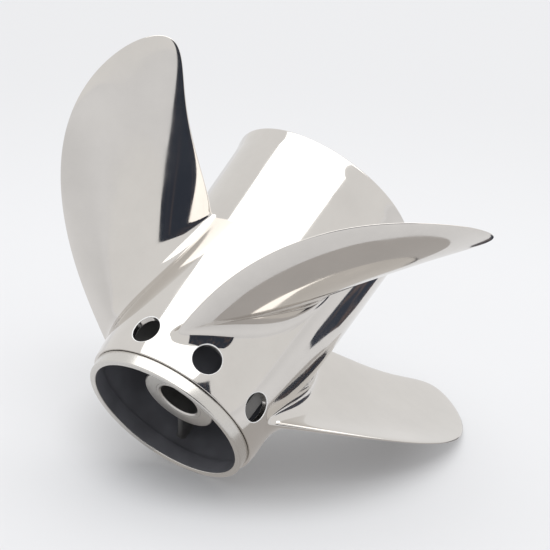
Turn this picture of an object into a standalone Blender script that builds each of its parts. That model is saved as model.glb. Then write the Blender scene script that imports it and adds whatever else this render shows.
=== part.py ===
"""Outboard propeller with a vented barrel, an inner hub on three ribs and four raked blades.

Lengths are in metres. The propeller is modelled about its own axis, local +Z, which runs
from the gearcase end at zero towards the exhaust end, and is then laid down as it rests
on a level floor: on the rim of its barrel and on two of its blades.
"""
from math import atan2, cos, exp, pi, radians, sin, sqrt, tau

import bmesh
import bpy
from mathutils import Vector

# A flat and a hair between pieces that touch
GAP = 0.0003
TURNING_STEPS = 72

# How it lies: the rise and heading of its axis, and its turn about that axis
AXIS_RISE = radians(33.83)
AXIS_HEADING = radians(90.0)
AXIS_TURN = radians(-143.44)

# Barrel
FRONT_RADIUS = 0.0603
BARREL_LENGTH = 0.206
WALL = 0.0045
SHOULDER_RISE = 0.0039
SHOULDER_LENGTH = 0.010
BARREL_TAPER = 0.018
COLLAR_LENGTH = 0.009
VENT_BAND_END = 0.046
COLLAR_RISE = 0.0002
COLLAR_REAR_RISE = 0.0006
LIP = 0.0012
FLARE_LENGTH = 0.012
FLARE_RISE = 0.0012

# Vent holes round the front of the barrel, on its upper side only
VENT_ANGLES = (radians(-45.0), 0.0, radians(45.0), radians(90.0))
VENT_RADIUS = 0.0102
VENT_STATION = 0.0275
DRILL_LENGTH = 0.0400

# Inner hub and the ribs that carry it
HUB_RADIUS = 0.0270
BORE_RADIUS = 0.0148
SLEEVE_WALL = 0.0028
SLEEVE_FRONT = 0.0178
HUB_FRONT = 0.0172
HUB_REAR = 0.1650
HUB_CHAMFER = 0.0010
RIB_COUNT = 3
RIB_FIRST_ANGLE = radians(165.0)
RIB_THICKNESS = 0.0044
RIB_FOOT = 0.0048
RIB_FLARE_START = 0.0085
RIB_FLARE_END = 0.0035
RIB_FLARE_SWELL = 1.25
RIB_FRONT = 0.0185
RIB_REAR = 0.1600

# Blades: the surface that each one lies on
BLADE_COUNT = 4
BLADE_FIRST_ANGLE = radians(21.3)
ROOT_RADIUS = 0.0632
TIP_RADIUS = 0.1895
PITCH_AT_ROOT = 0.689
PITCH_GROWTH = 0.583
PITCH_PROGRESSION = 0.0383
BLADE_STATION = 0.0933
RAKE = 0.369
RAKE_CURVE = 0.85

# Blades: outline and thickness
ROOT_HALF_CHORD = 0.0346
CHORD_GROWTH = (0.0424, -0.0322)
TIP_FULLNESS = 10.6
ROOT_OFFSET = 0.0176
OFFSET_GROWTH = (-0.0052, 0.0164, -0.0525)
ROOT_THICKNESS = 0.0105
TIP_THICKNESS = 0.0034
THICKNESS_FALL = 1.3
FILLET = 0.0130
EDGE_FILLET = 0.0045
SECTION_FULLNESS = 0.8
BLADE_LEVELS = 20
FILLET_LEVELS = 5
SECTION_POINTS = 32
ROOT_CAP_STRIPS = 6
LAST_LEVEL = 0.985
SLOPE_STEP = 0.0005
ROOT_PASSES = 4


def barrel_radius(station):
    """Outer radius of the barrel, which swells behind its collar and then tapers outwards."""
    shoulder = SHOULDER_RISE * (1 - exp(-station / SHOULDER_LENGTH))
    return FRONT_RADIUS + shoulder + BARREL_TAPER * station


def bore_wall_radius(station):
    return barrel_radius(station) - WALL


def spread(start, end, count):
    return [start + (end - start) * i / (count - 1) for i in range(count)]


def metal(name, colour, roughness):
    material = bpy.data.materials.new(name)
    material.use_nodes = True
    shader = material.node_tree.nodes["Principled BSDF"]
    shader.inputs["Base Color"].default_value = (*colour, 1.0)
    shader.inputs["Metallic"].default_value = 1.0
    shader.inputs["Roughness"].default_value = roughness
    return material


def add_object(name, mesh, collection, parent, material=None):
    thing = bpy.data.objects.new(name, mesh)
    collection.objects.link(thing)
    thing.parent = parent
    if material is not None:
        mesh.materials.append(material)
    return thing


def turned(name, profile, collection, parent, material):
    """A ring turned about the axis from a closed profile of (radius, station) points."""
    mesh = bpy.data.meshes.new(name)
    points = [(radius, 0.0, station) for radius, station in profile]
    edges = [(i, (i + 1) % len(points)) for i in range(len(points))]
    mesh.from_pydata(points, edges, [])
    thing = add_object(name, mesh, collection, parent, material)
    screw = thing.modifiers.new("turn", "SCREW")
    screw.steps = TURNING_STEPS
    screw.render_steps = TURNING_STEPS
    screw.use_merge_vertices = True
    screw.merge_threshold = 0.00001
    return thing


def tube(name, front, rear, count, collection, parent, material):
    """A stretch of the barrel between two stations."""
    stations = spread(front, rear, count)
    outer = [(barrel_radius(station), station) for station in reversed(stations)]
    inner = [(bore_wall_radius(station), station) for station in stations]
    return turned(name, outer + inner, collection, parent, material)


def make_vent_band(collection, cutters, parent, material):
    """The swelling front of the barrel, with its round vent holes."""
    front = COLLAR_LENGTH + GAP
    band = tube("vent_band", front, VENT_BAND_END, 5, collection, parent, material)
    drills = bmesh.new()
    for angle in VENT_ANGLES:
        before = set(drills.verts)
        bmesh.ops.create_cone(drills, cap_ends=True, segments=32, radius1=VENT_RADIUS,
                              radius2=VENT_RADIUS, depth=DRILL_LENGTH)
        new = [vert for vert in drills.verts if vert not in before]
        outward = Vector((cos(angle), sin(angle), 0.0))
        turn = Vector((0, 0, 1)).rotation_difference(outward).to_matrix()
        bmesh.ops.rotate(drills, verts=new, cent=(0, 0, 0), matrix=turn)
        centre = outward * barrel_radius(VENT_STATION) + Vector((0, 0, VENT_STATION))
        bmesh.ops.translate(drills, verts=new, vec=centre)
    mesh = bpy.data.meshes.new("vent_drills")
    drills.to_mesh(mesh)
    drills.free()
    cutter = add_object("vent_drills", mesh, cutters, parent)
    cutter.hide_render = True
    cutter.display_type = "WIRE"
    cut = band.modifiers.new("vents", "BOOLEAN")
    cut.operation = "DIFFERENCE"
    cut.solver = "EXACT"
    cut.object = cutter
    return band


def make_collar(collection, parent, material):
    """The machined band at the gearcase end, with a broken front edge."""
    inner = FRONT_RADIUS - WALL
    profile = [
        (FRONT_RADIUS + COLLAR_REAR_RISE, COLLAR_LENGTH),
        (FRONT_RADIUS + COLLAR_RISE, LIP),
        (FRONT_RADIUS - 0.4 * LIP, 0.25 * LIP),
        (FRONT_RADIUS - LIP, 0.0),
        (inner + 0.5 * LIP, 0.0),
        (inner, 0.5 * LIP),
        (inner, COLLAR_LENGTH),
    ]
    return turned("front_collar", profile, collection, parent, material)


def make_flare(collection, parent, material):
    """The slightly belled ring at the exhaust end."""
    start = BARREL_LENGTH - FLARE_LENGTH
    outer = barrel_radius(start)
    inner = bore_wall_radius(start)
    end = BARREL_LENGTH
    profile = [
        (outer + FLARE_RISE - 0.4 * LIP, end),
        (outer + FLARE_RISE, end - 0.4 * LIP),
        (outer + FLARE_RISE, end - 2 * LIP),
        (outer + 0.5 * FLARE_RISE, start + 0.4 * FLARE_LENGTH),
        (outer, start),
        (inner, start),
        (inner + FLARE_RISE, end),
    ]
    return turned("rear_flare", profile, collection, parent, material)


def make_inner_hub(collection, parent, material):
    """The thick tube in the middle, whose ring face shows at the gearcase end."""
    edge = HUB_CHAMFER
    seat = BORE_RADIUS + SLEEVE_WALL + GAP
    profile = [
        (HUB_RADIUS - edge, HUB_REAR),
        (HUB_RADIUS, HUB_REAR - edge),
        (HUB_RADIUS, HUB_FRONT + edge),
        (HUB_RADIUS - edge, HUB_FRONT),
        (seat, HUB_FRONT),
        (seat, HUB_REAR),
    ]
    return turned("inner_hub", profile, collection, parent, material)


def make_sleeve(collection, parent, material):
    """The thin sleeve pressed into the inner hub round the drive bore."""
    outer = BORE_RADIUS + SLEEVE_WALL
    edge = HUB_CHAMFER
    profile = [
        (outer, HUB_REAR),
        (outer, SLEEVE_FRONT),
        (BORE_RADIUS + edge, SLEEVE_FRONT),
        (BORE_RADIUS, SLEEVE_FRONT + edge),
        (BORE_RADIUS, HUB_REAR),
    ]
    return turned("drive_sleeve", profile, collection, parent, material)


def rib_section(station):
    """A web on the inner hub that spreads to a foot on the barrel wall, along +X."""
    half = RIB_THICKNESS / 2
    wall = bore_wall_radius(station) - GAP
    foot_angle = RIB_FOOT / wall
    root = HUB_RADIUS + GAP
    side = [
        (root, half),
        (wall - RIB_FLARE_START, half),
        (wall - RIB_FLARE_END, RIB_FLARE_SWELL * half),
    ]
    arc = [(wall * cos(a), wall * sin(a)) for a in spread(foot_angle, -foot_angle, 7)]
    return side + arc + [(x, -y) for x, y in reversed(side)]


def make_rib(name, angle, collection, parent, material):
    stations = spread(RIB_FRONT, RIB_REAR, 6)
    rib = bmesh.new()
    rings = [[rib.verts.new((x, y, z)) for x, y in rib_section(z)] for z in stations]
    bridge_rings(rib, rings)
    rib.faces.new(list(reversed(rings[0])))
    rib.faces.new(rings[-1])
    thing = finish_mesh(name, rib, collection, parent, material)
    thing.rotation_euler.z = angle
    return thing


def bridge_rings(body, rings):
    """Quads between each ring of vertices and the next."""
    for lower, upper in zip(rings, rings[1:]):
        for i in range(len(lower)):
            j = (i + 1) % len(lower)
            body.faces.new((lower[i], lower[j], upper[j], upper[i]))


def finish_mesh(name, body, collection, parent, material):
    bmesh.ops.recalc_face_normals(body, faces=body.faces)
    mesh = bpy.data.meshes.new(name)
    body.to_mesh(mesh)
    body.free()
    mesh.shade_smooth()
    mesh.set_sharp_from_angle(angle=radians(35))
    return add_object(name, mesh, collection, parent, material)


def blade_station(radius, turn):
    """Where the blade's middle surface crosses a cylinder, at an angle from its own line."""
    beyond = radius - ROOT_RADIUS
    pitch = PITCH_AT_ROOT + PITCH_GROWTH * beyond
    raked = RAKE * beyond + RAKE_CURVE * beyond ** 2
    return BLADE_STATION + pitch * turn / tau + PITCH_PROGRESSION * turn ** 2 + raked


def blade_section(reach):
    """Half chord, offset of the middle of the chord and half thickness, from root 0 to tip 1."""
    chord = ROOT_HALF_CHORD + CHORD_GROWTH[0] * reach + CHORD_GROWTH[1] * reach ** 2
    closing = sqrt(1 - reach ** TIP_FULLNESS)
    offset = ROOT_OFFSET + sum(k * reach ** (i + 1) for i, k in enumerate(OFFSET_GROWTH))
    thickness = TIP_THICKNESS + (ROOT_THICKNESS - TIP_THICKNESS) * (1 - reach) ** THICKNESS_FALL
    return chord * closing, offset, thickness / 2


def fillet_width(height, around):
    """How far the root spreads at a height over the barrel: a round that is tighter at its ends."""
    size = EDGE_FILLET + (FILLET - EDGE_FILLET) * sin(around) ** 2
    left = max(size - height, 0.0)
    return size - sqrt(size ** 2 - left ** 2)


def section_point(reach, around):
    """Arc length, station and reach of a point on one blade section laid on a cylinder."""
    half_chord, offset, half_thick = blade_section(reach)
    along = -cos(around)
    bulge = sin(around)
    bulge = half_thick * (abs(bulge) ** SECTION_FULLNESS) * (1 if bulge > 0 else -1)
    arc = half_chord * along - offset
    radius = ROOT_RADIUS + (TIP_RADIUS - ROOT_RADIUS) * reach
    station = blade_station(radius, arc / radius)
    for _ in range(ROOT_PASSES):
        root = barrel_radius(station) + GAP
        radius = root + (TIP_RADIUS - root) * reach
        station = blade_station(radius, arc / radius)
    slope = (blade_station(radius, (arc + SLOPE_STEP) / radius) - station) / SLOPE_STEP
    length = sqrt(1 + slope ** 2)
    tangent = Vector((1, slope)) / length
    normal = Vector((slope, -1)) / length
    spread_by = fillet_width(radius - root, around)
    outward = Vector((-cos(around) * half_thick, sin(around) * half_chord)).normalized()
    moved = tangent * outward.x * spread_by
    moved += normal * (bulge + outward.y * spread_by)
    return arc + moved.x, station + moved.y, reach


def blade_vertex(arc, station, reach):
    root = barrel_radius(station) + GAP
    radius = root + (TIP_RADIUS - root) * reach
    return Vector((radius * cos(arc / radius), radius * sin(arc / radius), station))


def blade_reaches():
    """Levels of the loft: close together in the fillet and near the tip."""
    blade_height = TIP_RADIUS - ROOT_RADIUS
    fillet_top = FILLET / blade_height
    low = [fillet_top * (1 - cos(pi / 2 * i / FILLET_LEVELS)) for i in range(FILLET_LEVELS)]
    high = []
    for i in range(BLADE_LEVELS):
        share = LAST_LEVEL * i / (BLADE_LEVELS - 1)
        high.append(fillet_top + (1 - fillet_top) * sin(share * pi / 2))
    return low + high


def make_blade(name, angle, collection, parent, material):
    """A loft of elliptical sections from a filleted root to a rounded tip."""
    blade = bmesh.new()
    turns = [tau * i / SECTION_POINTS for i in range(SECTION_POINTS)]
    flat_rings = [[section_point(reach, turn) for turn in turns] for reach in blade_reaches()]
    rings = [[blade.verts.new(blade_vertex(*point)) for point in ring] for ring in flat_rings]
    bridge_rings(blade, rings)
    cap_section(blade, rings[-1])
    cap_root(blade, rings[0], flat_rings[0])
    thing = finish_mesh(name, blade, collection, parent, material)
    thing.rotation_euler.z = angle
    return thing


def cap_section(blade, ring):
    """Close the tip with strips from one side of the section to the other."""
    count = len(ring)
    for i in range(count // 2):
        corners = [ring[i], ring[i + 1], ring[(count - i - 1) % count], ring[(count - i) % count]]
        blade.faces.new(list(dict.fromkeys(corners)))


def cap_root(blade, ring, flat_ring):
    """Close the root with strips that follow the round of the barrel."""
    count = len(ring)
    rows = []
    for i in range(count // 2 + 1):
        j = (count - i) % count
        if i == j or i == count // 2:
            rows.append([ring[i]])
            continue
        row = [ring[i]]
        for k in range(1, ROOT_CAP_STRIPS):
            share = k / ROOT_CAP_STRIPS
            arc = flat_ring[i][0] * (1 - share) + flat_ring[j][0] * share
            station = flat_ring[i][1] * (1 - share) + flat_ring[j][1] * share
            row.append(blade.verts.new(blade_vertex(arc, station, 0.0)))
        rows.append(row + [ring[j]])
    for first, second in zip(rows, rows[1:]):
        if len(first) == 1:
            fan(blade, first[0], second)
        elif len(second) == 1:
            fan(blade, second[0], first)
        else:
            for k in range(ROOT_CAP_STRIPS):
                blade.faces.new((first[k], first[k + 1], second[k + 1], second[k]))


def fan(blade, tip, row):
    for k in range(len(row) - 1):
        blade.faces.new((tip, row[k], row[k + 1]))


def lay_down(pieces, rest):
    """Drop the propeller until its lowest point is at the floor and centre it over the origin."""
    bpy.context.view_layer.update()
    graph = bpy.context.evaluated_depsgraph_get()
    corners = []
    for piece in pieces:
        seen = piece.evaluated_get(graph)
        corners += [seen.matrix_world @ vert.co for vert in seen.data.vertices]
    lows = [min(corner[axis] for corner in corners) for axis in range(3)]
    highs = [max(corner[axis] for corner in corners) for axis in range(3)]
    middle = [(low + high) / 2 for low, high in zip(lows, highs)]
    rest.location -= Vector((middle[0], middle[1], lows[2]))


def main():
    for thing in list(bpy.data.objects):
        bpy.data.objects.remove(thing)
    propeller = bpy.data.collections.new("outboard_propeller")
    cutters = bpy.data.collections.new("cutters")
    bpy.context.scene.collection.children.link(propeller)
    bpy.context.scene.collection.children.link(cutters)

    rest = bpy.data.objects.new("resting_pose", None)
    propeller.objects.link(rest)
    rest.rotation_euler = (0.0, pi / 2 - AXIS_RISE, AXIS_HEADING)
    spin = bpy.data.objects.new("axis_turn", None)
    propeller.objects.link(spin)
    spin.parent = rest
    spin.rotation_euler.z = AXIS_TURN

    polished = metal("polished_stainless", (0.78, 0.77, 0.75), 0.05)
    machined = metal("machined_stainless", (0.70, 0.69, 0.67), 0.30)
    cast = metal("cast_stainless", (0.20, 0.20, 0.21), 0.60)

    pieces = [
        make_vent_band(propeller, cutters, spin, polished),
        tube("barrel_skin", VENT_BAND_END + GAP, BARREL_LENGTH - FLARE_LENGTH - GAP, 6,
             propeller, spin, polished),
        make_collar(propeller, spin, machined),
        make_flare(propeller, spin, polished),
        make_inner_hub(propeller, spin, machined),
        make_sleeve(propeller, spin, machined),
    ]
    for i in range(RIB_COUNT):
        angle = RIB_FIRST_ANGLE + tau * i / RIB_COUNT
        pieces.append(make_rib(f"rib_{i + 1}", angle, propeller, spin, cast))
    for i in range(BLADE_COUNT):
        angle = BLADE_FIRST_ANGLE + tau * i / BLADE_COUNT
        pieces.append(make_blade(f"blade_{i + 1}", angle, propeller, spin, polished))
    lay_down(pieces, rest)


main()
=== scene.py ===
from functools import partial
from math import cos, exp, pi, radians, sin, sqrt, tau

import bmesh
import bpy
from bpy.props import FloatProperty, FloatVectorProperty, IntProperty, PointerProperty
from mathutils import Matrix, Vector


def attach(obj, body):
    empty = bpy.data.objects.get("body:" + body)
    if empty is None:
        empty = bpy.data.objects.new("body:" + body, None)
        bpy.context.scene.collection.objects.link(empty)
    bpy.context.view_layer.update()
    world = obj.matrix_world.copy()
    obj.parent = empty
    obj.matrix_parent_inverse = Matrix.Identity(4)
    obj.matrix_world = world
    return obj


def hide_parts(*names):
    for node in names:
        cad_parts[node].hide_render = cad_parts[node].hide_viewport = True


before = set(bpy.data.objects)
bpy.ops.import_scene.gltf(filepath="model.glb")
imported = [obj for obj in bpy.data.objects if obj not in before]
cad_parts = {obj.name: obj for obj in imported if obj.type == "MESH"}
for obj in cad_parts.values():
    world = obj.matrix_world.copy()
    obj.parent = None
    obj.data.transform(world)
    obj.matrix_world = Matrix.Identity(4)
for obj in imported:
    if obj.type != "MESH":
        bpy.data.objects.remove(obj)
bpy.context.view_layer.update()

bl_info = {
    "name": "Outboard Propeller",
    "version": (1, 0, 0),
    "blender": (4, 5, 0),
    "location": "View3D > Sidebar > Propeller",
    "description": "A polished four-blade outboard propeller lying on a pale studio floor",
    "category": "Add Mesh",
}

# How it lies: its axis rises from the gearcase end, and it is turned about that axis
AXIS_RISE = radians(33.83)
AXIS_HEADING = radians(90.0)
AXIS_TURN = radians(-143.44)
FRONT_CENTRE = Vector((0.0, -0.108445, 0.049579))

PLACE = (
    Matrix.Translation(FRONT_CENTRE)
    @ Matrix.Rotation(AXIS_HEADING, 4, "Z")
    @ Matrix.Rotation(pi / 2 - AXIS_RISE, 4, "Y")
    @ Matrix.Rotation(AXIS_TURN, 4, "Z")
)

BLADE_COUNT = 4
VENT_ANGLES = (radians(-45.0), 0.0, radians(45.0), radians(90.0))
RIB_COUNT = 3
RIM_STEPS = 288
HUB_STEPS = 192
SLEEVE_STEPS = 160

# Small sizes of the profiles, in metres. HAIR is the least bevel or clearance
HAIR = 0.0001
BARREL_CORNER, EXHAUST_LIP, BARREL_ROWS = 0.0008, 0.0018, 96
DRILL_SIDES, DRILL_DEPTH = 96, 0.04
# The collar's rounds at its lip, bore and back, and how far its back and front stand proud
COLLAR_LIP, COLLAR_BEAD, COLLAR_BACK = 0.0011, 0.0008, 0.0003
COLLAR_PROUD = (0.0006, 0.0002)
# The tongue behind the groove, which reaches into the barrel from the collar
TONGUE_WALL, TONGUE_REACH, TONGUE_GAP = 0.0008, 0.0035, 0.0002
# The hub's and sleeve's edges, and the stations of the points along their plain stretches
HUB_EDGE, HUB_REAR_BEVEL, HUB_STATIONS = 0.0012, 0.0003, (0.120, 0.080, 0.045)
SLEEVE_BEVEL, SLEEVE_STATIONS = 0.0010, (0.060, 0.110)
# How far a web's ends sink into hub and barrel, and the spans along it
RIB_OVERLAP, RIB_SPANS = 0.0004, 8

# The studio. The table below gives how strongly the floor's painted glow shines at each distance from its
# middle: dimmest near the propeller, as a painted shadow, and painted light beyond
FLOOR_RADIUS = 2.2
FLOOR_PAINTED_GLOW = ((0.09, 0.66), (0.15, 1.42), (0.32, 1.38), (0.75, 1.10), (1.00, 1.12), (1.80, 1.75))
SOFTBOX_SIZE, SOFTBOX_SHIFT = (3.2, 3.9), 0.45
# The tent's opening: its azimuths, how far out it is, and its height
OPENING_AZIMUTHS, OPENING_DISTANCE, OPENING_HEIGHT = (108, 156), 0.95, 0.75
# The board: azimuth, lean and distance, and its corners sideways and up on it
BOARD_PLACE = (15, 70, 0.060)
BOARD_CORNERS = (
    (0.206, 0.219), (0.197, 0.201), (0.155, 0.174), (0.062, 0.171), (0.034, 0.187),
    (0.016, 0.223), (0.006, 0.245), (0.006, 0.285), (0.016, 0.297), (0.049, 0.296),
    (0.119, 0.284), (0.174, 0.251),
)
# The round card of painted shadow: its middle, just clear of the floor, its two radii and its number of
# corners
SHADOW_MAT_CENTRE, SHADOW_MAT_RADII, SHADOW_MAT_SIDES = Vector((0.060, 0, 0.0006)), (0.120, 0.130), 72
# The camera stands about 3.5 m off, with a focal length of 5000 pixels over a picture 550 wide
CAMERA_PLACE = (1.87335318, -2.55999018, 1.4390945)
CAMERA_RIGHT = Vector((0.79536535, 0.60426385, 0.0475307))
CAMERA_UP = Vector((-0.26697738, 0.27884924, 0.92247828))
CAMERA_BACK = Vector((0.54416638, -0.74639688, 0.3831118))
CAMERA_SENSOR, FOCAL_PIXELS, PICTURE_PIXELS = 36.0, 5000, 550


def linear(colour):
    """An sRGB hex colour as the linear values that a shader takes."""
    parts = [int(colour[i : i + 2], 16) / 255 for i in (1, 3, 5)]
    return tuple(c / 12.92 if c <= 0.04045 else ((c + 0.055) / 1.055) ** 2.4 for c in parts)


def add_node(tree, kind, *inputs, **settings):
    """Add a node, and fill its inputs, in order or by their capital names, with values or nodes."""
    node = tree.nodes.new(kind)
    for name, value in settings.items():
        if name[0].islower():
            setattr(node, name, value)
    named = [(node.inputs[name], value) for name, value in settings.items() if name[0].isupper()]
    for socket, value in [*zip(node.inputs, inputs), *named]:
        if isinstance(value, bpy.types.Node):
            value = value.outputs[0]
        if isinstance(value, bpy.types.NodeSocket):
            tree.links.new(value, socket)
        elif value is not None:
            socket.default_value = value
    return node


def plain(name, **values):
    """A material with these values on its shader's own sockets, its tree and that shader."""
    material = bpy.data.materials.new(name)
    material.use_nodes = True
    shader = material.node_tree.nodes["Principled BSDF"]
    for socket, value in values.items():
        shader.inputs[socket.replace("_", " ")].default_value = value
    return material, material.node_tree, shader


metres = partial(FloatProperty, unit="LENGTH", subtype="DISTANCE")
shade = partial(FloatVectorProperty, size=3, subtype="COLOR")


class BarrelSettings(bpy.types.PropertyGroup):
    front_radius: metres(
        name="Front radius", description="Outer radius at the gearcase end", default=0.0603)
    length: metres(
        name="Length", description="From the gearcase end to the exhaust end", default=0.206)
    wall: metres(
        name="Wall", description="Thickness of the barrel", default=0.0045)
    shoulder_rise: metres(
        name="Shoulder", description="How far the barrel swells behind its collar", default=0.0039)
    shoulder_length: metres(
        name="Shoulder length", description="The run over which it swells", default=0.010)
    taper: FloatProperty(
        name="Taper", description="Growth of the radius along the barrel", default=0.018)
    vent_radius: metres(
        name="Vent radius", description="Radius of each vent hole", default=0.0102)
    vent_station: metres(
        name="Vent station", description="Distance of the vent holes from the gearcase end",
        default=0.0275)
    vent_round: metres(
        name="Vent round", description="Radius of the buffed edge of each vent hole", default=0.0006)
    collar_length: metres(
        name="Collar length", description="Length of the turned band at the gearcase end",
        default=0.0090)
    groove: metres(
        name="Groove", description="Width of the fine groove behind the collar", default=0.00018)
    flare_rise: metres(
        name="Flare", description="How far the exhaust end bells out", default=0.0012)
    flare_length: metres(
        name="Flare length", description="The run over which it bells out", default=0.012)


class HubSettings(bpy.types.PropertyGroup):
    radius: metres(
        name="Hub radius", description="Outer radius of the inner hub", default=0.0270)
    bore: metres(
        name="Bore radius", description="Radius of the drive bore", default=0.0148)
    sleeve_wall: metres(
        name="Sleeve wall", description="Thickness of the sleeve in the bore", default=0.0028)
    front: metres(
        name="Hub front", description="Distance of the hub's ring face from the gearcase end",
        default=0.0172)
    rear: metres(
        name="Hub rear", description="Distance of the hub's rear face from the gearcase end",
        default=0.1650)
    rib_thickness: metres(
        name="Rib thickness", description="Thickness of each web between hub and barrel",
        default=0.0044)
    rib_front: metres(
        name="Rib front", description="Where the webs start", default=0.0185)
    rib_rear: metres(
        name="Rib rear", description="Where the webs end", default=0.1600)
    rib_round: metres(
        name="Rib round", description="Radius where a web runs into the hub and the barrel",
        default=0.0030)
    first_rib: FloatProperty(
        name="First rib", description="Turn of the first web about the axis",
        default=radians(165.0), subtype="ANGLE")


class BladeSettings(bpy.types.PropertyGroup):
    tip_radius: metres(
        name="Tip radius", description="Half the diameter that the blades sweep", default=0.1895)
    root_radius: metres(
        name="Root radius", description="Radius at which pitch and rake are stated", default=0.0632)
    pitch: metres(
        name="Pitch", description="Advance in one turn at the root", default=0.689)
    pitch_growth: FloatProperty(
        name="Pitch growth", description="Pitch gained for each metre of radius", default=0.583)
    progression: FloatProperty(
        name="Progression", description="Curvature from leading to trailing edge", default=0.0383)
    station: metres(
        name="Station", description="Where the blade's own line meets the root", default=0.0933)
    rake: FloatProperty(
        name="Rake", description="How far the blade leans towards the exhaust end", default=0.369)
    rake_curve: FloatProperty(
        name="Rake curve", description="How much the lean grows outwards", default=0.85)
    half_chord: metres(
        name="Half chord", description="Half the root's width along the barrel's skin", default=0.0346)
    thickness: metres(
        name="Root thickness", description="Thickness just above the root fillet", default=0.0105)
    tip_thickness: metres(
        name="Tip thickness", description="Thickness near the tip", default=0.0034)
    fillet: metres(
        name="Root fillet", description="Radius of the round between blade and barrel", default=0.0130)
    edge_fillet: metres(
        name="Edge fillet", description="The same round, at the blade's two edges", default=0.0045)
    first_angle: FloatProperty(
        name="First blade", description="Turn of the first blade about the axis",
        default=radians(21.3), subtype="ANGLE")
    around: IntProperty(
        name="Points round", description="Points round each section", default=128, min=16)
    levels: IntProperty(
        name="Levels", description="Sections from root to tip", default=96, min=12)


class FinishSettings(bpy.types.PropertyGroup):
    polish: shade(
        name="Polished steel", description="Reflection colour of the mirror polish",
        default=linear("#d8d4cf"))
    turned: shade(
        name="Turned steel", description="Reflection colour of the turned faces", default=linear("#d1cec9"))
    # Painted shade: the dark colour given to the walls of the vent holes
    hole_wall_shade: shade(
        name="Drilled wall", description="Colour of the walls of the vent holes", default=linear("#575759"))
    bored: shade(
        name="Bored sleeve", description="Colour of the drive bore", default=linear("#959493"))
    web: shade(
        name="Cast webs", description="Colour of the webs inside the barrel", default=linear("#676665"))
    cast: shade(
        name="Cast bore", description="Colour of the dark cast bore", default=linear("#68696f"))


class StudioSettings(bpy.types.PropertyGroup):
    floor: shade(
        name="Floor", description="Colour of the studio floor", default=linear("#aaaaab"))
    # Painted light: the colour of the floor's glow, which the distance ramp dims into a painted shadow near
    # the propeller
    floor_painted_glow: shade(
        name="Floor glow", description="Light that comes up through the white table",
        default=linear("#7b7c7e"))
    air: shade(
        name="Tent", description="Colour of the white tent all round", default=linear("#f3f3f3"))
    softbox: FloatProperty(
        name="Softbox", description="Brightness of the softbox overhead", default=1.42)
    softbox_height: metres(
        name="Softbox height", description="Height of the softbox over the floor", default=2.0)
    # Painted shadow: the grey glow of the round card that the blades mirror in place of the propeller's
    # shadow
    mat: shade(
        name="Mat", description="Shade of the round grey mat under the propeller",
        default=linear("#bab7b5"))
    dark: shade(
        name="Dark opening", description="Colour of the dark room seen through the tent's opening",
        default=linear("#353a44"))
    room: shade(
        name="Room behind", description="Colour of the things that stand in the dark room",
        default=linear("#615552"))


def barrel_radius(station):
    sizes = bpy.context.scene.propeller_barrel
    shoulder = sizes.shoulder_rise * (1 - exp(-max(station, 0) / sizes.shoulder_length))
    return sizes.front_radius + shoulder + sizes.taper * station


def wear(mesh, *finishes):
    """Give a mesh its materials, in the order of its faces' material indices."""
    for name in finishes:
        mesh.materials.append(finish(name))


def keep(name, mesh, nodes):
    """Put a finished mesh in its place on the propeller and hand it to the frame."""
    mesh.transform(PLACE)
    mesh.update()
    piece = bpy.data.objects.new(name, mesh)
    bpy.context.scene.collection.objects.link(piece)
    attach(piece, "root")
    if nodes:
        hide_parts(*nodes)


def lathe(name, profile, steps=RIM_STEPS):
    """A closed (radius, station) profile turned about the axis, outer side first."""
    body = bmesh.new()
    rings = []
    for i in range(steps):
        angle = tau * i / steps
        rings.append([body.verts.new((r * cos(angle), r * sin(angle), z)) for r, z in profile])
    for ring, following in zip(rings, rings[1:] + rings[:1]):
        for i in range(len(profile)):
            j = (i + 1) % len(profile)
            body.faces.new((ring[i], following[i], following[j], ring[j]))
    bmesh.ops.recalc_face_normals(body, faces=body.faces)
    mesh = bpy.data.meshes.new(name)
    body.to_mesh(mesh)
    body.free()
    mesh.shade_smooth()
    return mesh


def arc_points(centre, radius, start, end, count):
    """Points on a rounded corner of a profile."""
    return [
        (centre[0] + radius * cos(radians(start + (end - start) * i / (count - 1))),
         centre[1] + radius * sin(radians(start + (end - start) * i / (count - 1))))
        for i in range(count)
    ]


def steel(name, colour, roughness, metallic=1.0):
    """Bare metal, or less metallic where exhaust has sooted it: every finish here starts from it."""
    return plain(name, Base_Color=(*colour, 1), Metallic=metallic, Roughness=roughness)


def per_metre(millimetres):
    """The scale of a texture whose marks lie this far apart."""
    return 1000 / millimetres


def finish(name):
    """The material of that name, made once."""
    if name in bpy.data.materials:
        return bpy.data.materials[name]
    looks = bpy.context.scene.propeller_finish
    makers = {
        "mirror_polished_stainless": polished_stainless,
        "buffed_vent_edge": buffed_vent_edge,
        "drilled_wall": drilled_wall,
        "turned_stainless": turned_stainless,
        "faced_stainless": faced_stainless,
        "bored_sleeve": bored_sleeve,
        "cast_bore": cast_bore,
        "cast_web": cast_web,
    }
    return makers[name](name, looks)


def polished_stainless(name, looks):
    # Buffed to a mirror: sharp reflections that swim a little where the casting is not quite true
    material, tree, shader = steel(name, looks.polish, 0.07)
    place = add_node(tree, "ShaderNodeTexCoord").outputs["Object"]
    swim = add_node(tree, "ShaderNodeTexNoise", place, None, per_metre(35.7), 1.0, 0.4)
    bump = add_node(tree, "ShaderNodeBump", 0.09, 0.002, Height=swim)
    tree.links.new(bump.outputs[0], shader.inputs["Normal"])
    roughen(tree, shader, millimetres=29.4, low=0.045, high=0.105)
    haze = add_node(tree, "ShaderNodeTexNoise", place, None, per_metre(62.5), 5.0, 0.62)
    mottle(tree, shader, looks.polish, haze, (0.32, 0.68), (0.955, 1.035))
    return material


def buffed_vent_edge(name, looks):
    # The edge of each hole, buffed round by hand: bright, and never quite even
    material, tree, shader = steel(name, looks.polish, 0.14)
    roughen(tree, shader, millimetres=6.25, low=0.10, high=0.22)
    return material


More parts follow.
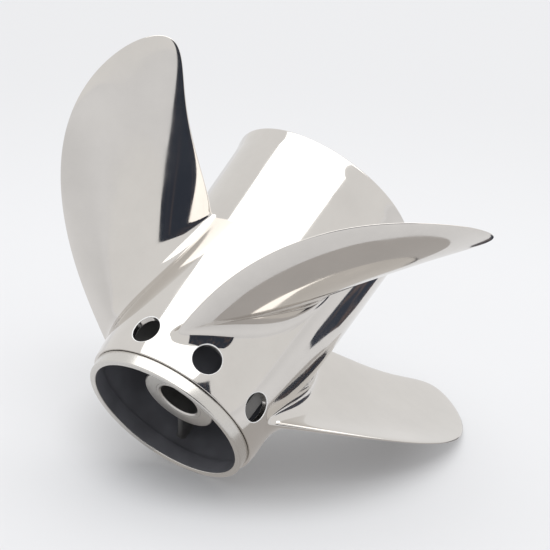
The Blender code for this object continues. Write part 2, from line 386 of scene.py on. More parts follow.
def drilled_wall(name, looks):
    # The wall of each hole as the drill left it: painted dark as the shade inside the hole, and unevenly
    # dull
    material, tree, shader = steel(name, looks.hole_wall_shade, 0.42)
    roughen(tree, shader, millimetres=2.38, low=0.34, high=0.52)
    return material


def roughen(tree, shader, millimetres, low, high):
    """Let the roughness wander between two values in patches of about that size."""
    place = add_node(tree, "ShaderNodeTexCoord").outputs["Object"]
    patches = add_node(tree, "ShaderNodeTexNoise", place, None, per_metre(millimetres), 3.0, 0.6)
    amount = add_node(tree, "ShaderNodeMapRange", patches, 0.35, 0.65, low, high)
    tree.links.new(amount.outputs[0], shader.inputs["Roughness"])


def mottle(tree, shader, colour, noise, span, shades):
    """Let the colour lighten and darken slowly with a noise between two shades."""
    factor = add_node(tree, "ShaderNodeMapRange", noise, *span, *shades)
    tinted = add_node(tree, "ShaderNodeVectorMath", tuple(colour), Scale=factor, operation="SCALE")
    tree.links.new(tinted.outputs[0], shader.inputs["Base Color"])


def turning_marks(tree, shader, millimetres, depth, strength):
    """Fine rings round the axis: a noise over the distance along a turned face, and its bump."""
    place = add_node(tree, "ShaderNodeTexCoord").outputs["Object"]
    from_front = add_node(tree, "ShaderNodeVectorMath", place, tuple(FRONT_CENTRE),
                          operation="SUBTRACT")
    axis = tuple((PLACE.to_3x3() @ Vector((0, 0, 1))).normalized())
    along = add_node(tree, "ShaderNodeVectorMath", from_front, axis, operation="DOT_PRODUCT")
    across = add_node(tree, "ShaderNodeVectorMath", from_front, axis, operation="CROSS_PRODUCT")
    radius = add_node(tree, "ShaderNodeVectorMath", across, operation="LENGTH")
    run = add_node(tree, "ShaderNodeMath", along.outputs["Value"], radius.outputs["Value"],
                   operation="ADD")
    spot = add_node(tree, "ShaderNodeCombineXYZ", run)
    lines = add_node(tree, "ShaderNodeTexNoise", spot, None, per_metre(millimetres), 2.0, 0.7)
    bump = add_node(tree, "ShaderNodeBump", strength, depth, Height=lines)
    tree.links.new(bump.outputs[0], shader.inputs["Normal"])
    return lines


def lathe_finish(name, looks, roughness, low, high, **marks):
    """Steel off the lathe. Its feed of about 0.2 mm is drawn coarser, so that its rings show."""
    material, tree, shader = steel(name, looks.turned, roughness)
    lines = turning_marks(tree, shader, **marks)
    amount = add_node(tree, "ShaderNodeMapRange", lines, 0.3, 0.7, low, high)
    tree.links.new(amount.outputs[0], shader.inputs["Roughness"])
    return material


def turned_stainless(name, looks):
    # Turned on a lathe and left satin: a soft sheen broken by very fine rings
    return lathe_finish(name, looks, 0.24, 0.17, 0.30,
                        millimetres=0.3846, depth=0.00004, strength=0.5)


def faced_stainless(name, looks):
    # Faced on a lathe and a little dulled by handling: rings round the bore
    return lathe_finish(name, looks, 0.36, 0.30, 0.46,
                        millimetres=0.5263, depth=0.00005, strength=0.6)


def bored_sleeve(name, looks):
    # Bored steel with the boring tool's rings, dull and dark down the hole
    material, tree, shader = steel(name, looks.bored, 0.42)
    turning_marks(tree, shader, millimetres=0.6667, depth=0.00006, strength=0.7)
    return material


def sandy(name, colour, roughness, millimetres, strength):
    """The grain of a shell mould, drawn coarser than its 0.3 mm, and a slow change of shade."""
    material, tree, shader = steel(name, colour, roughness, metallic=0.35)
    place = add_node(tree, "ShaderNodeTexCoord").outputs["Object"]
    grain = add_node(tree, "ShaderNodeTexNoise", place, None, per_metre(millimetres), 3.0, 0.6)
    bump = add_node(tree, "ShaderNodeBump", strength, 0.00015, Height=grain)
    tree.links.new(bump.outputs[0], shader.inputs["Normal"])
    clouds = add_node(tree, "ShaderNodeTexNoise", place, None, per_metre(26.3), 2.0, 0.5)
    mottle(tree, shader, colour, clouds, (0.3, 0.7), (0.78, 1.2))
    return material


def cast_bore(name, looks):
    # As it came from the shell mould, darkened by exhaust: dull with a sandy grain
    return sandy(name, looks.cast, 0.66, millimetres=0.7143, strength=0.35)


def cast_web(name, looks):
    # The webs: the same casting, rubbed paler than the wall behind them
    return sandy(name, looks.web, 0.55, millimetres=0.9091, strength=0.3)


BLADE_INPUTS = (
    "tip_radius", "root_radius", "pitch", "pitch_growth", "progression", "station", "rake",
    "rake_curve", "half_chord", "thickness", "tip_thickness", "fillet", "edge_fillet",
)
BARREL_INPUTS = ("front_radius", "shoulder_rise", "shoulder_length", "taper")
VENT_INPUTS = ("vent_radius", "vent_round", "vent_station", "wall")

# The blade's outline: how its half chord and its skew grow with the reach and its square and cube
CHORD_GROWTH = (0.0424, -0.0322)
ROOT_OFFSET = 0.0176
OFFSET_GROWTH = (-0.0052, 0.0164, -0.0525)
# Powers: how late the tip closes, how fast the blade thins, and how full its section is
TIP_FULLNESS = 10.6
THICKNESS_FALL = 1.3
SECTION_FULLNESS = 0.8
# The last rows run out in a thin skirt, and then close inside the barrel's wall
SKIRT_SPREAD = 0.0010
SKIRT_DEPTH = 0.0002
ROOT_DEPTH = 0.0012
# How often the radius and the station of a point are worked out from each other
SOLVING_ROUNDS = 4
# The share of a vent's rows that goes to each of its two rounds
ROUND_SHARE = 0.4
VENT_COLUMNS, VENT_ROWS = 97, 26
# The faces of a vent's wall look along the hole less than this
WALL_SLANT = 0.7
MERGE_DISTANCE = 1e-6

SIGNS = {
    "+": "ADD", "-": "SUBTRACT", "*": "MULTIPLY", "/": "DIVIDE", "^": "POWER",
    "*+": "MULTIPLY_ADD", "<": "LESS_THAN", ">": "GREATER_THAN",
}


def work_out(tree, values, formula):
    """Add the nodes of a formula, which is a number, a name, or a sign with its terms."""
    if isinstance(formula, str):
        return values[formula]
    if not isinstance(formula, tuple):
        return formula
    terms = [work_out(tree, values, term) for term in formula[1:]]
    return add_node(tree, "ShaderNodeMath", *terms, operation=SIGNS.get(formula[0], formula[0]))


def series(start, growths):
    """The formula start + g1 * reach + g2 * reach ^ 2 and so on."""
    for i, growth in enumerate(growths):
        start = ("*+", ("^", "reach", i + 1.0), growth, start)
    return start


def skin_at(station):
    """The formula for the radius of the barrel's outer skin, as barrel_radius works it out."""
    swell = ("-", 1.0, ("EXPONENT", ("*", ("/", station, "shoulder_length"), -1.0)))
    return ("*+", station, "taper", ("*+", swell, "shoulder_rise", "front_radius"))


def rise_from(root):
    """The formula for the radius at this reach from a root to the tip."""
    return ("*+", "reach", ("-", "tip_radius", root), root)


def blade_law():
    """The blade as formulas over x, round the section, and y, from the root to the tip."""
    law = [
        ("turn", ("*", ("+", "x", 0.5), tau)),
        ("last", ("-", "levels", 1.0)),
        ("level", ("ROUND", ("*", ("+", "y", 0.5), "last"))),
        ("climb", ("MAXIMUM", ("/", ("-", "level", 2.0), ("-", "last", 2.0)), 0.0)),
        ("reach", ("*+", ("COSINE", ("*", "climb", pi)), -0.5, 0.5)),
        ("open_section", (">", "level", 0.5)),
        ("skirt", ("<", "level", 1.5)),
        ("sunk", ("<", "level", 0.5)),
        # The section at this reach
        ("closing", ("SQRT", ("-", 1.0, ("^", "reach", TIP_FULLNESS)))),
        ("chord", ("*", series("half_chord", CHORD_GROWTH), "closing")),
        ("offset", series(ROOT_OFFSET, OFFSET_GROWTH)),
        ("thinning", ("^", ("-", 1.0, "reach"), THICKNESS_FALL)),
        ("thick", ("*+", "thinning", ("-", "thickness", "tip_thickness"), "tip_thickness")),
        ("half_thick", ("*", ("*", "thick", ("*", ("SQRT", "closing"), 0.5)), "open_section")),
        ("along", ("*", ("COSINE", "turn"), -1.0)),
        ("up", ("SINE", "turn")),
        ("bulge", ("*", ("^", ("ABSOLUTE", "up"), SECTION_FULLNESS), ("SIGN", "up"))),
        ("arc", ("-", ("*", "chord", "along"), "offset")),
        # The radius and the station z of each point follow from each other
        ("radius", rise_from("root_radius")),
    ]
    for _ in range(SOLVING_ROUNDS):
        law += [
            ("beyond", ("-", "radius", "root_radius")),
            ("lead", ("/", ("*+", "beyond", "pitch_growth", "pitch"), tau)),
            ("swing", ("/", "arc", "radius")),
            ("screw", ("*+", "lead", "swing", "station")),
            ("bent", ("*+", ("*", "swing", "swing"), "progression", "screw")),
            ("raked", ("*+", "beyond", "rake", "bent")),
            ("z", ("*+", ("*", "beyond", "beyond"), "rake_curve", "raked")),
            ("root", skin_at("z")),
            ("radius", rise_from("root")),
        ]
    return law + [
        # The round at the root, and the thickness, are laid off square to the blade's helix
        ("height", ("-", "radius", "root")),
        ("round", ("*+", ("-", "fillet", "edge_fillet"), ("*", "up", "up"), "edge_fillet")),
        ("left", ("MAXIMUM", ("-", "round", "height"), 0.0)),
        ("inside", ("-", ("^", "round", 2.0), ("^", "left", 2.0))),
        ("spread", ("*+", "skirt", SKIRT_SPREAD, ("-", "round", ("SQRT", "inside")))),
        ("spread", ("*", "spread", "open_section")),
        ("slope", ("/", ("*+", ("*", "swing", 2.0), "progression", "lead"), "radius")),
        ("length", ("SQRT", ("*+", "slope", "slope", 1.0))),
        ("out_x", ("*", "along", ("+", "half_thick", 1e-7))),
        ("out_y", ("*", "up", "chord")),
        ("out", ("+", ("*", "out_x", "out_x"), ("*", "out_y", "out_y"))),
        ("out", ("SQRT", ("+", "out", 1e-12))),
        ("ahead", ("*", ("/", "out_x", "out"), "spread")),
        ("aside", ("*+", ("/", "out_y", "out"), "spread", ("*", "half_thick", "bulge"))),
        ("moved_arc", ("+", ("/", ("*+", "aside", "slope", "ahead"), "length"), "arc")),
        ("moved_z", ("+", ("/", ("-", ("*", "ahead", "slope"), "aside"), "length"), "z")),
        ("skin", skin_at("moved_z")),
        ("radius", rise_from("skin")),
        ("turned", ("+", ("/", "moved_arc", "radius"), "angle")),
        ("radius", ("*+", "skirt", -SKIRT_DEPTH, "radius")),
        ("radius", ("*+", "sunk", SKIRT_DEPTH - ROOT_DEPTH, "radius")),
        ("spot_x", ("*", "radius", ("COSINE", "turned"))),
        ("spot_y", ("*", "radius", ("SINE", "turned"))),
        ("spot_z", "moved_z"),
    ]


def law_tree(name, inputs, laws, material):
    """Nodes that bend one grid for each law, join them, and give them a material."""
    tree = bpy.data.node_groups.new(name, "GeometryNodeTree")
    tree.interface.new_socket("Geometry", in_out="OUTPUT", socket_type="NodeSocketGeometry")
    kinds = {key: "NodeSocketFloat" for key in (*inputs, *BARREL_INPUTS)}
    kinds.update(around="NodeSocketInt", levels="NodeSocketInt")
    names = {}
    for key, kind in kinds.items():
        item = tree.interface.new_socket(key, in_out="INPUT", socket_type=kind)
        names[key] = item.identifier
    size = add_node(tree, "NodeGroupInput").outputs
    joined = add_node(tree, "GeometryNodeJoinGeometry")
    for law in laws:
        grid = add_node(tree, "GeometryNodeMeshGrid", 1.0, 1.0, size["around"], size["levels"])
        place = add_node(tree, "ShaderNodeSeparateXYZ", add_node(tree, "GeometryNodeInputPosition"))
        values = {key: size[key] for key in names}
        values.update(x=place.outputs[0], y=place.outputs[1])
        for key, formula in law:
            values[key] = work_out(tree, values, formula)
        spot = add_node(tree, "ShaderNodeCombineXYZ", values["spot_x"], values["spot_y"],
                        values["spot_z"])
        laid = add_node(tree, "GeometryNodeSetPosition", grid, Position=spot)
        tree.links.new(laid.outputs[0], joined.inputs[0])
    merged = add_node(tree, "GeometryNodeMergeByDistance", joined, Distance=MERGE_DISTANCE)
    smooth = add_node(tree, "GeometryNodeSetShadeSmooth", merged)
    real = add_node(tree, "GeometryNodeRealizeInstances", smooth)
    finished = add_node(tree, "GeometryNodeSetMaterial", real, Material=finish(material))
    add_node(tree, "NodeGroupOutput", finished)
    return tree, names


def grown(name, tree, names, values):
    """The plain mesh that a tree gives for these values."""
    host = bpy.data.objects.new(name, bpy.data.meshes.new(name))
    bpy.context.scene.collection.objects.link(host)
    nodes = host.modifiers.new("shape", "NODES")
    nodes.node_group = tree
    for key, value in values.items():
        nodes[names[key]] = value
    bpy.context.view_layer.update()
    graph = bpy.context.evaluated_depsgraph_get()
    mesh = bpy.data.meshes.new_from_object(host.evaluated_get(graph))
    mesh.name = name
    bpy.data.objects.remove(host)
    return mesh


class PROPELLER_OT_blades(bpy.types.Operator):
    """Four like blades, each with the round that blends it into the barrel"""

    bl_idname = "propeller.blades"
    bl_label = "Blades"

    def execute(self, context):
        scene = context.scene
        tree, names = law_tree("blade_by_rule", (*BLADE_INPUTS, "angle"), [blade_law()],
                               "mirror_polished_stainless")
        values = {key: getattr(scene.propeller_blade, key) for key in BLADE_INPUTS}
        values.update({key: getattr(scene.propeller_barrel, key) for key in BARREL_INPUTS})
        values["around"] = scene.propeller_blade.around + 1
        values["levels"] = scene.propeller_blade.levels
        for i in range(BLADE_COUNT):
            values["angle"] = scene.propeller_blade.first_angle + tau * i / BLADE_COUNT
            mesh = grown(f"polished_blade_{i + 1}", tree, names, values)
            body = bmesh.new()
            body.from_mesh(mesh)
            bmesh.ops.recalc_face_normals(body, faces=body.faces)
            body.to_mesh(mesh)
            body.free()
            mesh = drilled(mesh)
            mesh.set_sharp_from_angle(angle=radians(55))
            keep(f"polished_blade_{i + 1}", mesh, [f"blade_{i + 1}"])
        return {"FINISHED"}


def bore_wall(station):
    return barrel_radius(station) - bpy.context.scene.propeller_barrel.wall


def flare(station):
    """How far the exhaust end has belled out at a station."""
    sizes = bpy.context.scene.propeller_barrel
    share = (station - sizes.length + sizes.flare_length) / sizes.flare_length
    share = min(max(share, 0.0), 1.0)
    return sizes.flare_rise * share * share * (3 - 2 * share)


def true_normals(mesh, radius_at):
    """Give the outer skin the exact normals of its rule, so that the mirror runs clean past cuts."""
    step, near = 0.00005, 0.00002
    normals = []
    for corner in mesh.loops:
        spot = mesh.vertices[corner.vertex_index].co
        radius = sqrt(spot.x ** 2 + spot.y ** 2)
        slope = (radius_at(spot.z + step) - radius_at(spot.z - step)) / (2 * step)
        on_skin = abs(radius - radius_at(spot.z)) < near
        normal = Vector((spot.x / radius, spot.y / radius, -slope)).normalized()
        normals.append(normal if on_skin else Vector((0, 0, 0)))
    mesh.normals_split_custom_set(normals)


def drilled(mesh):
    """The mesh with the vent holes drilled through it, square to the axis."""
    sizes = bpy.context.scene.propeller_barrel
    radius, station = sizes.vent_radius + sizes.vent_round, sizes.vent_station
    drills = bmesh.new()
    for angle in VENT_ANGLES:
        outward = Vector((cos(angle), sin(angle), 0))
        turn = Matrix((Vector((-sin(angle), cos(angle), 0)), Vector((0, 0, 1)), outward))
        centre = outward * barrel_radius(station) + Vector((0, 0, station))
        place = Matrix.Translation(centre) @ turn.transposed().to_4x4()
        bmesh.ops.create_cone(drills, cap_ends=True, segments=DRILL_SIDES, radius1=radius,
                              radius2=radius, depth=DRILL_DEPTH, matrix=place)
    cutter_mesh = bpy.data.meshes.new("drills")
    drills.to_mesh(cutter_mesh)
    drills.free()
    cutter = bpy.data.objects.new("drills", cutter_mesh)
    host = bpy.data.objects.new("host", mesh)
    for thing in (cutter, host):
        bpy.context.scene.collection.objects.link(thing)
    cut = host.modifiers.new("vents", "BOOLEAN")
    cut.operation = "DIFFERENCE"
    cut.solver = "EXACT"
    cut.object = cutter
    bpy.context.view_layer.update()
    graph = bpy.context.evaluated_depsgraph_get()
    result = bpy.data.meshes.new_from_object(host.evaluated_get(graph))
    for thing in (cutter, host):
        bpy.data.objects.remove(thing)
    return result


class PROPELLER_OT_barrel(bpy.types.Operator):
    """The barrel from its groove to its exhaust end, polished outside and dark inside"""

    bl_idname = "propeller.barrel"
    bl_label = "Barrel"

    def execute(self, context):
        sizes = context.scene.propeller_barrel
        start = sizes.collar_length + sizes.groove
        corner, lip = BARREL_CORNER, EXHAUST_LIP
        first, last = start + corner, sizes.length - lip
        steps = BARREL_ROWS - 1
        stations = [first + (last - first) * i / steps for i in range(BARREL_ROWS)]

        def skin(station):
            return barrel_radius(station) + flare(station)

        outer = [(skin(z), z) for z in reversed(stations)]
        front = arc_points((skin(first) - corner, first), corner, 0, -90, 7)[1:]
        inner = [(bore_wall(z) + flare(z), z) for z in [start] + stations]
        rear = arc_points((bore_wall(last) + flare(last) + lip, last), lip, 180, 90, 8)[1:]
        back = arc_points((skin(last) - lip, last), lip, 90, 0, 8)[:-1]
        mesh = lathe("polished_barrel", outer + front + inner + rear + back)
        wear(mesh, "mirror_polished_stainless", "cast_bore")
        for face in mesh.polygons:
            middle = face.center
            wall = sqrt(middle.x ** 2 + middle.y ** 2) - bore_wall(middle.z) - flare(middle.z)
            face.material_index = int(wall < HAIR and middle.z < last)
        mesh = drilled(mesh)
        true_normals(mesh, skin)
        keep("polished_barrel", mesh, ["barrel_skin", "rear_flare", "vent_band"])
        return {"FINISHED"}


def vent_law(angle):
    """A vent's lining as formulas: from its outer edge round to the wall, down it, and round."""
    return [
        ("turn", ("*", ("+", "x", 0.5), tau)),
        ("share", ("+", "y", 0.5)),
        ("outer", ("MINIMUM", ("*", "share", 1 / ROUND_SHARE), 1.0)),
        ("outer", ("*", "outer", pi / 2)),
        ("inner", ("*", ("-", "share", 1 - ROUND_SHARE), 1 / ROUND_SHARE)),
        ("inner", ("*", ("MAXIMUM", "inner", 0.0), pi / 2)),
        ("closed", ("*", ("SINE", "outer"), ("COSINE", "inner"))),
        ("hole", ("*+", ("-", 1.0, "closed"), "vent_round", "vent_radius")),
        ("rounds", ("/", "vent_round", "wall")),
        ("straight", ("*", ("-", "share", ROUND_SHARE), 1 / (1 - 2 * ROUND_SHARE))),
        ("straight", ("MINIMUM", ("MAXIMUM", "straight", 0.0), 1.0)),
        ("room", ("-", 1.0, ("*", "rounds", 2.0))),
        ("depth", ("*", ("-", 1.0, ("COSINE", "outer")), "rounds")),
        ("depth", ("*+", "straight", "room", "depth")),
        ("depth", ("*+", ("SINE", "inner"), "rounds", "depth")),
        ("side", ("*", "hole", ("COSINE", "turn"))),
        ("z", ("*+", "hole", ("SINE", "turn"), "vent_station")),
        ("skin", skin_at("z")),
        ("square", ("*", "side", "side")),
        ("top", ("SQRT", ("-", ("*", "skin", "skin"), "square"))),
        ("bore", ("-", "skin", "wall")),
        ("low", ("SQRT", ("-", ("*", "bore", "bore"), "square"))),
        ("height", ("-", "top", ("*", ("-", "top", "low"), "depth"))),
        ("spot_x", ("-", ("*", "height", cos(angle)), ("*", "side", sin(angle)))),
        ("spot_y", ("+", ("*", "height", sin(angle)), ("*", "side", cos(angle)))),
        ("spot_z", "z"),
    ]


class PROPELLER_OT_vents(bpy.types.Operator):
    """The buffed edges and walls of the vent holes"""

    bl_idname = "propeller.vents"
    bl_label = "Vents"

    def execute(self, context):
        tree, names = law_tree("vent_linings", VENT_INPUTS, map(vent_law, VENT_ANGLES),
                               "buffed_vent_edge")
        sizes = context.scene.propeller_barrel
        values = {key: getattr(sizes, key) for key in (*VENT_INPUTS, *BARREL_INPUTS)}
        values.update(around=VENT_COLUMNS, levels=VENT_ROWS)
        mesh = grown("vent_edges", tree, names, values)
        body = bmesh.new()
        body.from_mesh(mesh)
        axes = [Vector((cos(angle), sin(angle), 0)) for angle in VENT_ANGLES]
        for face in body.faces:
            middle = face.calc_center_median()
            axis = max(axes, key=middle.dot)
            inward = Vector((0, 0, sizes.vent_station)) - middle
            inward -= axis * inward.dot(axis)
            # The walls look to the hole's middle, and the rounds look outwards or to the bore
            facing = face.normal.dot(axis)
            if abs(facing) < WALL_SLANT:
                wrong = face.normal.dot(inward) < 0
            else:
                outer = middle.dot(axis) > (barrel_radius(middle.z) - sizes.wall / 2) * 0.98
                wrong = (facing > 0) != outer
            if wrong:
                face.normal_flip()
            face.material_index = int(inward.length < sizes.vent_radius + sizes.vent_round / 10)
        body.to_mesh(mesh)
        body.free()
        wear(mesh, "drilled_wall")
        keep("vent_edges", mesh, [])
        return {"FINISHED"}


class PROPELLER_OT_collar(bpy.types.Operator):
    """The turned band at the gearcase end, with its rounded lip"""

    bl_idname = "propeller.collar"
    bl_label = "Collar"

    def execute(self, context):
        sizes = context.scene.propeller_barrel
        inner, length = sizes.front_radius - sizes.wall, sizes.collar_length
        lip, bead, edge = COLLAR_LIP, COLLAR_BEAD, COLLAR_BACK
        back, front = (sizes.front_radius + proud for proud in COLLAR_PROUD)
        tongue, end = bore_wall(length + sizes.groove) - TONGUE_GAP, length + TONGUE_REACH
        profile = arc_points((back - edge, length - edge), edge, 90, 0, 5)
        profile += arc_points((front - lip, lip), lip, 0, -90, 12)
        profile += arc_points((inner + bead, bead), bead, -90, -180, 10)
        profile += [(inner, length - TONGUE_WALL), (tongue - TONGUE_WALL, end)]
        profile += [(tongue, end), (tongue, length)]
        mesh = lathe("turned_collar", profile)
        mesh.set_sharp_from_angle(angle=radians(40))
        wear(mesh, "turned_stainless", "cast_bore")
        for face in mesh.polygons:
            middle = face.center
            deep = sqrt(middle.x ** 2 + middle.y ** 2) < tongue + HAIR
            face.material_index = int(deep and middle.z > 1.5 * bead)
        keep("turned_collar", mesh, ["front_collar"])
        return {"FINISHED"}


class PROPELLER_OT_hub(bpy.types.Operator):
    """The inner hub with its faced ring, and the sleeve pressed into it"""

    bl_idname = "propeller.hub"
    bl_label = "Inner hub"

    def execute(self, context):
        sizes = context.scene.propeller_hub
        front, rear, bore = sizes.front, sizes.rear, sizes.bore
        wall = bore + sizes.sleeve_wall
        seat, edge, bevel = wall + HAIR, HUB_EDGE, HUB_REAR_BEVEL
        profile = [(sizes.radius, z) for z in HUB_STATIONS]
        profile += arc_points((sizes.radius - edge, front + edge), edge, 0, -90, 8)
        profile += [(seat + HAIR, front), (seat, front + HAIR)]
        profile += [(seat, rear - bevel), (seat + bevel, rear)]
        profile += arc_points((sizes.radius - edge, rear - edge), edge, 90, 0, 8)
        mesh = lathe("faced_inner_hub", profile, HUB_STEPS)
        mesh.set_sharp_from_angle(angle=radians(40))
        wear(mesh, "faced_stainless", "cast_bore")
        for face in mesh.polygons:
            face.material_index = int(front + edge * 0.9 < face.center.z < rear - edge * 0.9)
        keep("faced_inner_hub", mesh, ["inner_hub"])

        bevel = SLEEVE_BEVEL
        profile = [(wall, rear), (wall, front + HAIR), (wall - HAIR, front)]
        profile += [(bore + bevel, front), (bore, front + bevel)]
        profile += [(bore, z) for z in SLEEVE_STATIONS]
        profile += [(bore, rear - bevel), (bore + bevel, rear)]
        mesh = lathe("pressed_sleeve", profile, SLEEVE_STEPS)
        mesh.set_sharp_from_angle(angle=radians(30))
        wear(mesh, "bored_sleeve", "faced_stainless")
        for face in mesh.polygons:
            face.material_index = int(face.center.z < front + bevel * 0.9)
        keep("pressed_sleeve", mesh, ["drive_sleeve"])
        return {"FINISHED"}


def rib_outline(station, sizes):
    """Half of a web's section at a station: hub round, web, and the round into the barrel."""
    half, bend, wall = sizes.rib_thickness / 2, sizes.rib_round, bore_wall(station)
    root, sunk = sizes.radius - RIB_OVERLAP, wall + RIB_OVERLAP
    fitted = []
    for centre, angles in ((root + bend, (180, 200, 220, 240, 255, 270)),
                           (wall - bend, (270, 290, 310, 330, 345, 360))):
        for angle in angles:
            x = centre + bend * cos(radians(angle))
            y = half + bend + bend * sin(radians(angle))
            limit = sqrt(max(sunk ** 2 - y ** 2, 0.0))
            fitted.append((min(x, limit) if x < wall - 5 * HAIR else limit, y))
    foot = fitted[-1][1]
    return fitted + [(sqrt(sunk ** 2 - (foot * k / 4) ** 2), foot * k / 4) for k in (3, 2, 1, 0)]


class PROPELLER_OT_ribs(bpy.types.Operator):
    """The webs that carry the inner hub, each with rounded feet and a rounded nose"""

    bl_idname = "propeller.ribs"
    bl_label = "Ribs"

    def execute(self, context):
        sizes = context.scene.propeller_hub
        nose = sizes.rib_thickness / 2
        for i in range(RIB_COUNT):
            turn = Matrix.Rotation(sizes.first_rib + tau * i / RIB_COUNT, 4, "Z")
            body = bmesh.new()
            rings = []
            span = sizes.rib_rear - sizes.rib_front
            noses = [(nose * (1 - cos(radians(a))), sin(radians(a))) for a in (12, 30, 50, 70, 90)]
            levels = [(sizes.rib_front + d, w) for d, w in noses]
            levels += [(sizes.rib_front + span * k / RIB_SPANS, 1.0) for k in range(1, RIB_SPANS)]
            levels += [(sizes.rib_rear - d, w) for d, w in reversed(noses)]
            for station, width in levels:
                side = rib_outline(station, sizes)
                ring = side + [(x, -y) for x, y in reversed(side[:-1])]
                rings.append([body.verts.new(turn @ Vector((x, y * width, station)))
                              for x, y in ring])
            for lower, upper in zip(rings, rings[1:]):
                for k in range(len(lower)):
                    j = (k + 1) % len(lower)
                    body.faces.new((lower[k], lower[j], upper[j], upper[k]))
            body.faces.new(list(reversed(rings[0])))
            body.faces.new(rings[-1])
            bmesh.ops.triangulate(body, faces=[f for f in body.faces if len(f.verts) > 4])
            bmesh.ops.recalc_face_normals(body, faces=body.faces)
            mesh = bpy.data.meshes.new(f"cast_rib_{i + 1}")
            body.to_mesh(mesh)
            body.free()
            mesh.shade_smooth()
            mesh.set_sharp_from_angle(angle=radians(50))
            wear(mesh, "cast_web")
            keep(f"cast_rib_{i + 1}", mesh, [f"rib_{i + 1}"])
        return {"FINISHED"}


def card(name, corners, material):
    """A flat card in the studio that shows only in reflections."""
    mesh = bpy.data.meshes.new(name)
    mesh.from_pydata(corners, [], [tuple(range(len(corners)))])
    mesh.materials.append(material)
    flat = bpy.data.objects.new(name, mesh)
    bpy.context.scene.collection.objects.link(flat)
    flat.visible_camera = False
    flat.visible_diffuse = False
    flat.visible_shadow = False


def on_card(azimuth, lean, distance, side, rise):
    """A place on a card that faces the propeller: azimuth from +Y, and how far it leans out."""
    turn, tilt = radians(azimuth), radians(lean)
    out = distance * cos(tilt) + rise * sin(tilt)
    return (out * sin(turn) + side * cos(turn), out * cos(turn) - side * sin(turn),
            rise * cos(tilt) - distance * sin(tilt))


def studio_floor_paint(studio):
    # Matt white paint whose glow is painted light: it glows by the distance from its middle, least near the
    # propeller, as a painted shadow
    paint, tree, shader = plain(
        "matt_studio_floor", Base_Color=(*studio.floor, 1), Roughness=0.9,
        Specular_IOR_Level=0.1, Emission_Color=(*studio.floor_painted_glow, 1))
    place = add_node(tree, "ShaderNodeTexCoord").outputs["Object"]
    out = add_node(tree, "ShaderNodeVectorMath", place, operation="LENGTH").outputs["Value"]
    share = add_node(tree, "ShaderNodeMath", out, FLOOR_RADIUS, operation="DIVIDE")
    glow = add_node(tree, "ShaderNodeValToRGB", share)
    stops = glow.color_ramp.elements
    glow.color_ramp.interpolation = "EASE"
    while len(stops) < len(FLOOR_PAINTED_GLOW):
        stops.new(FLOOR_PAINTED_GLOW[len(stops) - 1][0] / FLOOR_RADIUS)
    for stop, (distance, strength) in zip(stops, FLOOR_PAINTED_GLOW):
        stop.position = distance / FLOOR_RADIUS
        stop.color = (strength, strength, strength, 1)
    tree.links.new(glow.outputs[0], shader.inputs["Emission Strength"])
    return paint


def dark_room_cloth(studio):
    # What the tent's opening lets in: a dark room with a few dim reddish things standing in it
    cloth, tree, shader = plain("dark_room", Roughness=1.0, Specular_IOR_Level=0.0)
    place = add_node(tree, "ShaderNodeTexCoord").outputs["Object"]
    tall = add_node(tree, "ShaderNodeVectorMath", place, (9.0, 9.0, 1.1), operation="MULTIPLY")
    streaks = add_node(tree, "ShaderNodeTexNoise", tall, None, 3.0, 3.0, 0.6)
    share = add_node(tree, "ShaderNodeMapRange", streaks, 0.50, 0.66, 0.0, 0.7)
    mix = add_node(tree, "ShaderNodeMix", share, data_type="RGBA", A=(*studio.dark, 1),
                   B=(*studio.room, 1))
    tree.links.new(mix.outputs["Result"], shader.inputs["Base Color"])
    return cloth


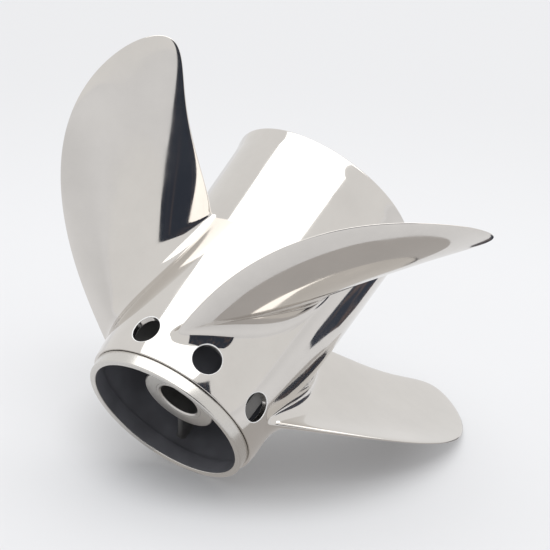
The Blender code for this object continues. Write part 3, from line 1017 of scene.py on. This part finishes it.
class PROPELLER_OT_studio(bpy.types.Operator):
    """A pale floor in a white tent, a softbox overhead, the cards it mirrors, and the camera"""

    bl_idname = "propeller.studio"
    bl_label = "Studio"

    def execute(self, context):
        scene = context.scene
        studio = scene.propeller_studio
        scene.view_settings.view_transform = "Standard"
        bpy.ops.mesh.primitive_circle_add(vertices=96, radius=FLOOR_RADIUS, fill_type="NGON")
        floor = context.active_object
        floor.name = "studio_floor"
        floor.data.materials.append(studio_floor_paint(studio))

        world = bpy.data.worlds.new("white_tent")
        scene.world = world
        world.use_nodes = True
        world.node_tree.nodes["Background"].inputs["Color"].default_value = (*studio.air, 1)

        softbox = bpy.data.lights.new("overhead_softbox", "AREA")
        softbox.shape = "RECTANGLE"
        softbox.size, softbox.size_y = SOFTBOX_SIZE
        softbox.energy = studio.softbox * pi * softbox.size * softbox.size_y
        lamp = bpy.data.objects.new("overhead_softbox", softbox)
        lamp.location = (0.0, SOFTBOX_SHIFT, studio.softbox_height)
        scene.collection.objects.link(lamp)

        cloth = dark_room_cloth(studio)
        left, right = (
            Vector((sin(radians(azimuth)), cos(radians(azimuth)), 0)) * OPENING_DISTANCE
            for azimuth in OPENING_AZIMUTHS)
        top = Vector((0, 0, OPENING_HEIGHT))
        card("tent_opening", [left, right, right + top, left + top], cloth)
        card("dark_board", [on_card(*BOARD_PLACE, *corner) for corner in BOARD_CORNERS], cloth)
        # A round card of painted shadow on the table, glowing grey and seen only in reflections, which the
        # undersides of the blades mirror
        shadow_paint, _, _ = plain(
            "grey_mat", Base_Color=(0, 0, 0, 1), Roughness=1.0, Specular_IOR_Level=0.0,
            Emission_Color=(*studio.mat, 1), Emission_Strength=1.0)
        turns = [tau * i / SHADOW_MAT_SIDES for i in range(SHADOW_MAT_SIDES)]
        card("painted_shadow_card", [SHADOW_MAT_CENTRE + Vector((SHADOW_MAT_RADII[0] * cos(a), SHADOW_MAT_RADII[1] * sin(a), 0))
                           for a in turns], shadow_paint)

        camera = bpy.data.objects.new("camera", bpy.data.cameras.new("camera"))
        scene.collection.objects.link(camera)
        camera.location = CAMERA_PLACE
        axes = Matrix((CAMERA_RIGHT, CAMERA_UP, CAMERA_BACK))
        camera.rotation_euler = axes.transposed().to_euler()
        camera.data.sensor_width = CAMERA_SENSOR
        camera.data.lens = FOCAL_PIXELS / PICTURE_PIXELS * CAMERA_SENSOR
        scene.camera = camera
        return {"FINISHED"}


class PROPELLER_PT_panel(bpy.types.Panel):
    """Lists the pieces in the order in which they are made"""

    bl_label = "Propeller"
    bl_space_type = "VIEW_3D"
    bl_region_type = "UI"
    bl_category = "Propeller"

    def draw(self, context):
        for operator in OPERATORS:
            self.layout.operator(operator.bl_idname)


SETTINGS = {
    "propeller_barrel": BarrelSettings,
    "propeller_hub": HubSettings,
    "propeller_blade": BladeSettings,
    "propeller_finish": FinishSettings,
    "propeller_studio": StudioSettings,
}
OPERATORS = (
    PROPELLER_OT_barrel, PROPELLER_OT_vents, PROPELLER_OT_collar, PROPELLER_OT_hub,
    PROPELLER_OT_ribs, PROPELLER_OT_blades, PROPELLER_OT_studio,
)


def register():
    for kind in (*SETTINGS.values(), *OPERATORS, PROPELLER_PT_panel):
        bpy.utils.register_class(kind)
    for name, kind in SETTINGS.items():
        setattr(bpy.types.Scene, name, PointerProperty(type=kind))


def unregister():
    for name in SETTINGS:
        delattr(bpy.types.Scene, name)
    for kind in (*SETTINGS.values(), *OPERATORS, PROPELLER_PT_panel):
        bpy.utils.unregister_class(kind)


def main():
    """Make the pieces one after the other, then the studio."""
    register()
    bpy.ops.propeller.barrel()
    bpy.ops.propeller.vents()
    bpy.ops.propeller.collar()
    bpy.ops.propeller.hub()
    bpy.ops.propeller.ribs()
    bpy.ops.propeller.blades()
    bpy.ops.propeller.studio()


if __name__ == "__main__":
    main()
